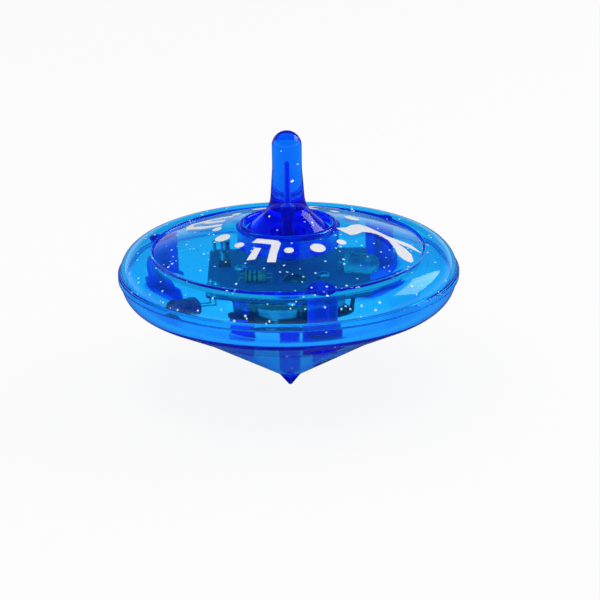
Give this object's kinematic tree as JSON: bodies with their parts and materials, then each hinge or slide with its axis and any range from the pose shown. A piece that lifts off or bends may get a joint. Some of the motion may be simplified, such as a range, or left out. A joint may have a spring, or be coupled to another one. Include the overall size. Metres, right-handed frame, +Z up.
{
  "type": "light-up spinning dreidel",
  "caption": "Wide spinning-top dreidel in translucent blue plastic: domed marked upper shell with a finger stem, conical lower shell with a tip, and a flasher circuit with a centrifugal switch.",
  "frame": {"origin": "the end of the spinning tip, on the spin axis", "axes": "+Z up the spin axis, through the stem; -Y towards the viewer of the picture; +X to the viewer's right"},
  "size_m": [0.09, 0.09, 0.0705],
  "materials": {
    "shell": "clear blue plastic with silver flecks, polished",
    "stem": "clear blue plastic with silver flecks, polished",
    "tip": "solid clear blue plastic",
    "steel": "zinc-plated steel",
    "nickel": "nickel-plated strip",
    "cell": "stainless cell can",
    "wire": "tinned wire",
    "board": "blue solder-masked board",
    "epoxy": "black resin drop",
    "resistor": "lacquered body",
    "tray": "moulded black plastic",
    "lead_red": "insulated lead",
    "lead_black": "insulated lead",
    "lamp_green": "faintly tinted clear resin",
    "lamp_red": "tinted clear resin"
  },
  "bodies": {
    "top": {"upper_shell": "shell", "lower_shell": "shell", "spinning_tip": "tip", "finger_stem": "stem", "stem_washer": "steel", "stem_screw": "steel", "case_screws": "steel", "circuit_board": "board", "board_screws": "steel", "flasher_chip": "epoxy", "resistor_1": "resistor", "resistor_2": "resistor", "battery_tray": "tray", "tray_screw": "steel", "button_cell_1": "cell", "button_cell_2": "cell", "button_cell_3": "cell", "cell_strap_1": "nickel", "cell_strap_2": "nickel", "cell_strap_3": "nickel", "contact_plate_1": "nickel", "contact_plate_2": "nickel", "contact_plate_3": "nickel", "lead_positive": "lead_red", "lead_negative": "lead_black", "green_lamp": "lamp_green", "green_lamp_wires": "wire", "red_lamp": "lamp_red", "red_lamp_wires": "wire", "switch_base": "tray", "switch_pin": "nickel"},
    "switch_swing_arm": {"switch_arm": "nickel", "switch_weight": "steel"}
  },
  "joints": [
    {"name": "switch_swing", "type": "hinge", "parent": "top", "child": "switch_swing_arm", "pos_m": [-0.0168, 0.002, 0.0354], "axis": [0, 0, 1], "range_deg": [0, 6], "stiffness_Nm_per_rad": 0.00044}
  ]
}
